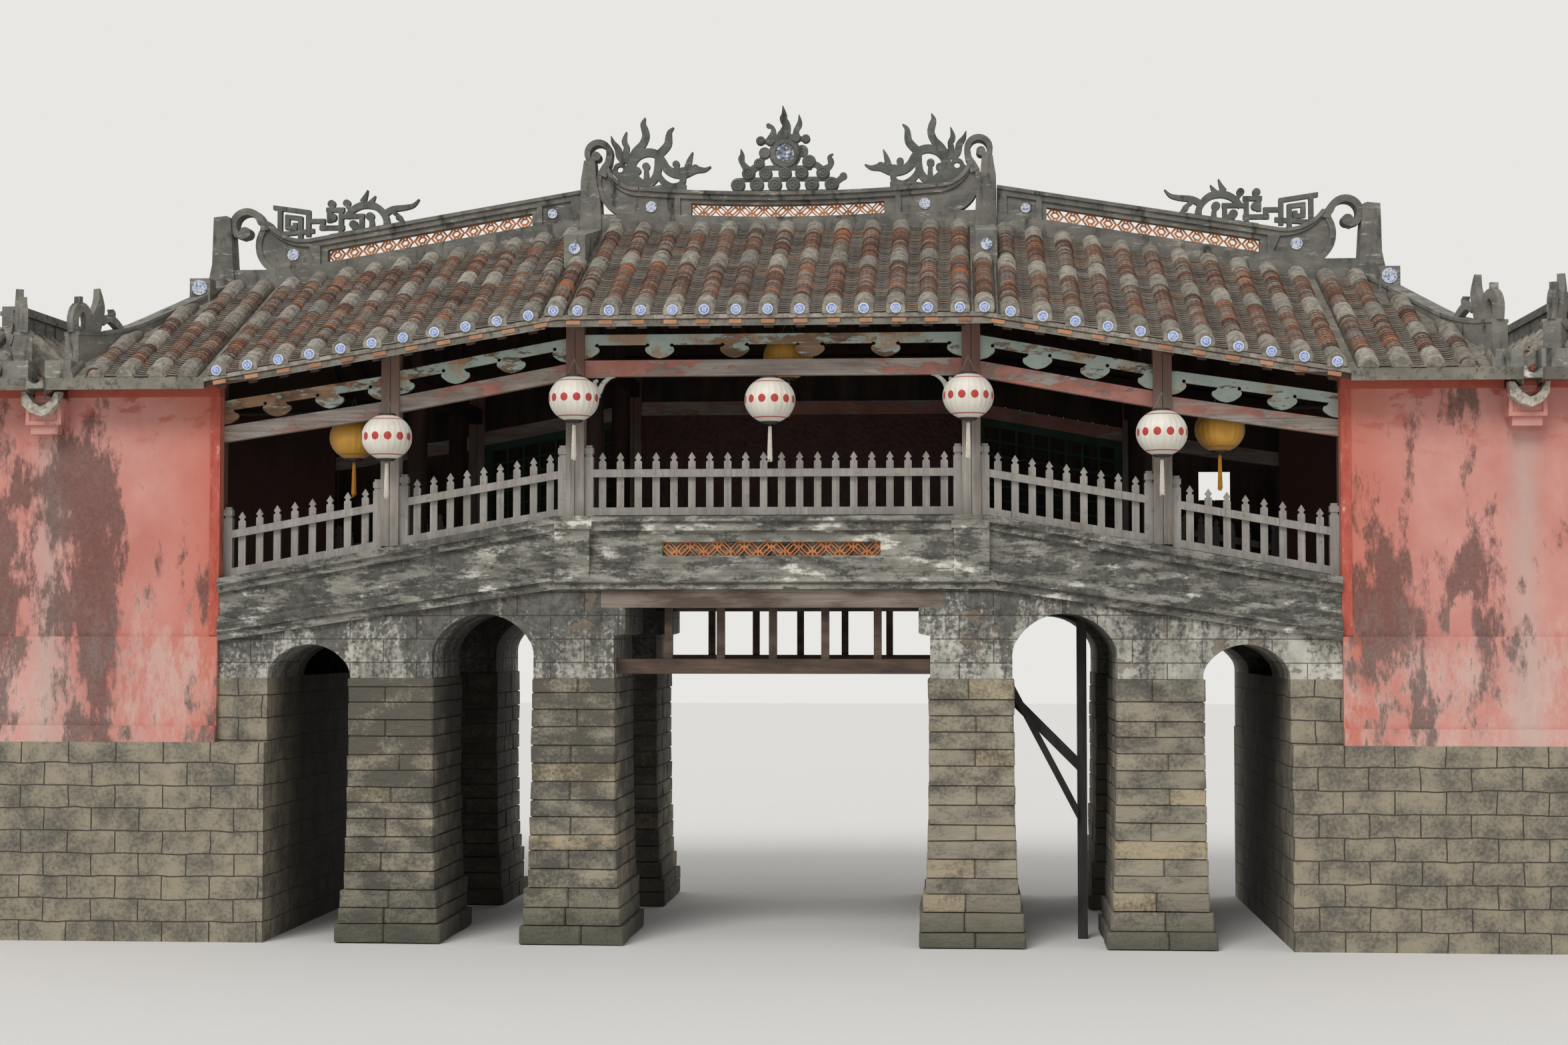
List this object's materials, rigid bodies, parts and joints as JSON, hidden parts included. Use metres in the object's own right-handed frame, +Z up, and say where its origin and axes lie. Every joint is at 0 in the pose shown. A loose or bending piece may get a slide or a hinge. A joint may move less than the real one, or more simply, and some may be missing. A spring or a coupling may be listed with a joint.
{
  "type": "covered bridge",
  "caption": "Roofed footbridge on masonry arches, with plastered gatehouses, timber frame, picket fences, tiled roof, pierced ridge crests and hanging lanterns.",
  "frame": {"origin": "centre of the bridge's footprint, on the level where the piers meet the river bed", "axes": "+X along the bridge to the right as seen from the front, +Y to the rear, +Z up"},
  "size_m": [20.4, 6.6, 10.2197],
  "materials": {
    "pier_stone": "coursed sandstone, rough and stained",
    "weathered_masonry": "lime plaster with black mould",
    "terracotta": "unglazed fired clay",
    "dark_timber": "oiled hardwood, dark with age",
    "tie_timber": "rough sawn and weathered",
    "shoring_timber": "tarred",
    "floor_boards": "worn boards",
    "gate_paving": "worn brick paving",
    "bleached_timber": "bare wood bleached grey",
    "flaking_red_timber": "old red paint flaking to grey wood",
    "fascia_paint": "carved boards with worn pale blue-green paint",
    "white_carving": "carved brackets with chalky white paint",
    "lacquered_screen": "dark red-brown lacquer",
    "lattice_paint": "dark green paint",
    "roof_tile": "stacked fired tiles with grey mortar",
    "dark_stucco": "grey lime stucco blackened by weather",
    "pink_plaster": "limewashed plaster with dark streaks",
    "blue_porcelain": "glazed, blue on white",
    "white_silk": "silk on bent ribs",
    "yellow_silk": "silk on bent ribs"
  },
  "bodies": {
    "root": {"abutments": "pier_stone", "piers_front": "pier_stone", "piers_rear": "pier_stone", "arcades_front": "weathered_masonry", "arcades_rear": "weathered_masonry", "span_beams": "dark_timber", "lower_ties": "tie_timber", "shoring_props": "shoring_timber", "joists": "dark_timber", "deck_centre": "floor_boards", "deck_slopes": "floor_boards", "gate_floors": "gate_paving", "parapets_centre": "weathered_masonry", "parapets_side": "weathered_masonry", "parapet_frets": "terracotta", "outer_posts": "bleached_timber", "inner_columns": "dark_timber", "eave_beams": "flaking_red_timber", "wall_plates": "dark_timber", "cross_beams": "dark_timber", "king_struts": "dark_timber", "purlins": "dark_timber", "fascias": "fascia_paint", "fence_centre": "bleached_timber", "fences_side": "bleached_timber", "fences_rear": "bleached_timber", "rear_screen": "lacquered_screen", "rear_lattices": "lattice_paint", "roof_centre_front": "roof_tile", "roof_centre_rear": "roof_tile", "roofs_side_front": "roof_tile", "roofs_side_rear": "roof_tile", "gate_roofs_inner": "roof_tile", "gate_roofs_outer": "roof_tile", "valley_gutters": "dark_stucco", "spout_hoppers": "pink_plaster", "scroll_brackets": "white_carving", "ridge_centre": "dark_stucco", "ridges_side": "dark_stucco", "hip_walls": "dark_stucco", "gate_ridges": "dark_stucco", "cloud_crest": "dark_stucco", "dragon_crests": "dark_stucco", "meander_crests": "dark_stucco", "ridge_frets": "terracotta", "gate_walls": "pink_plaster", "end_jambs": "pink_plaster", "end_heads": "pink_plaster", "porcelain_discs": "blue_porcelain", "lanterns_white": "white_silk", "lanterns_yellow": "yellow_silk"}
  },
  "joints": []
}
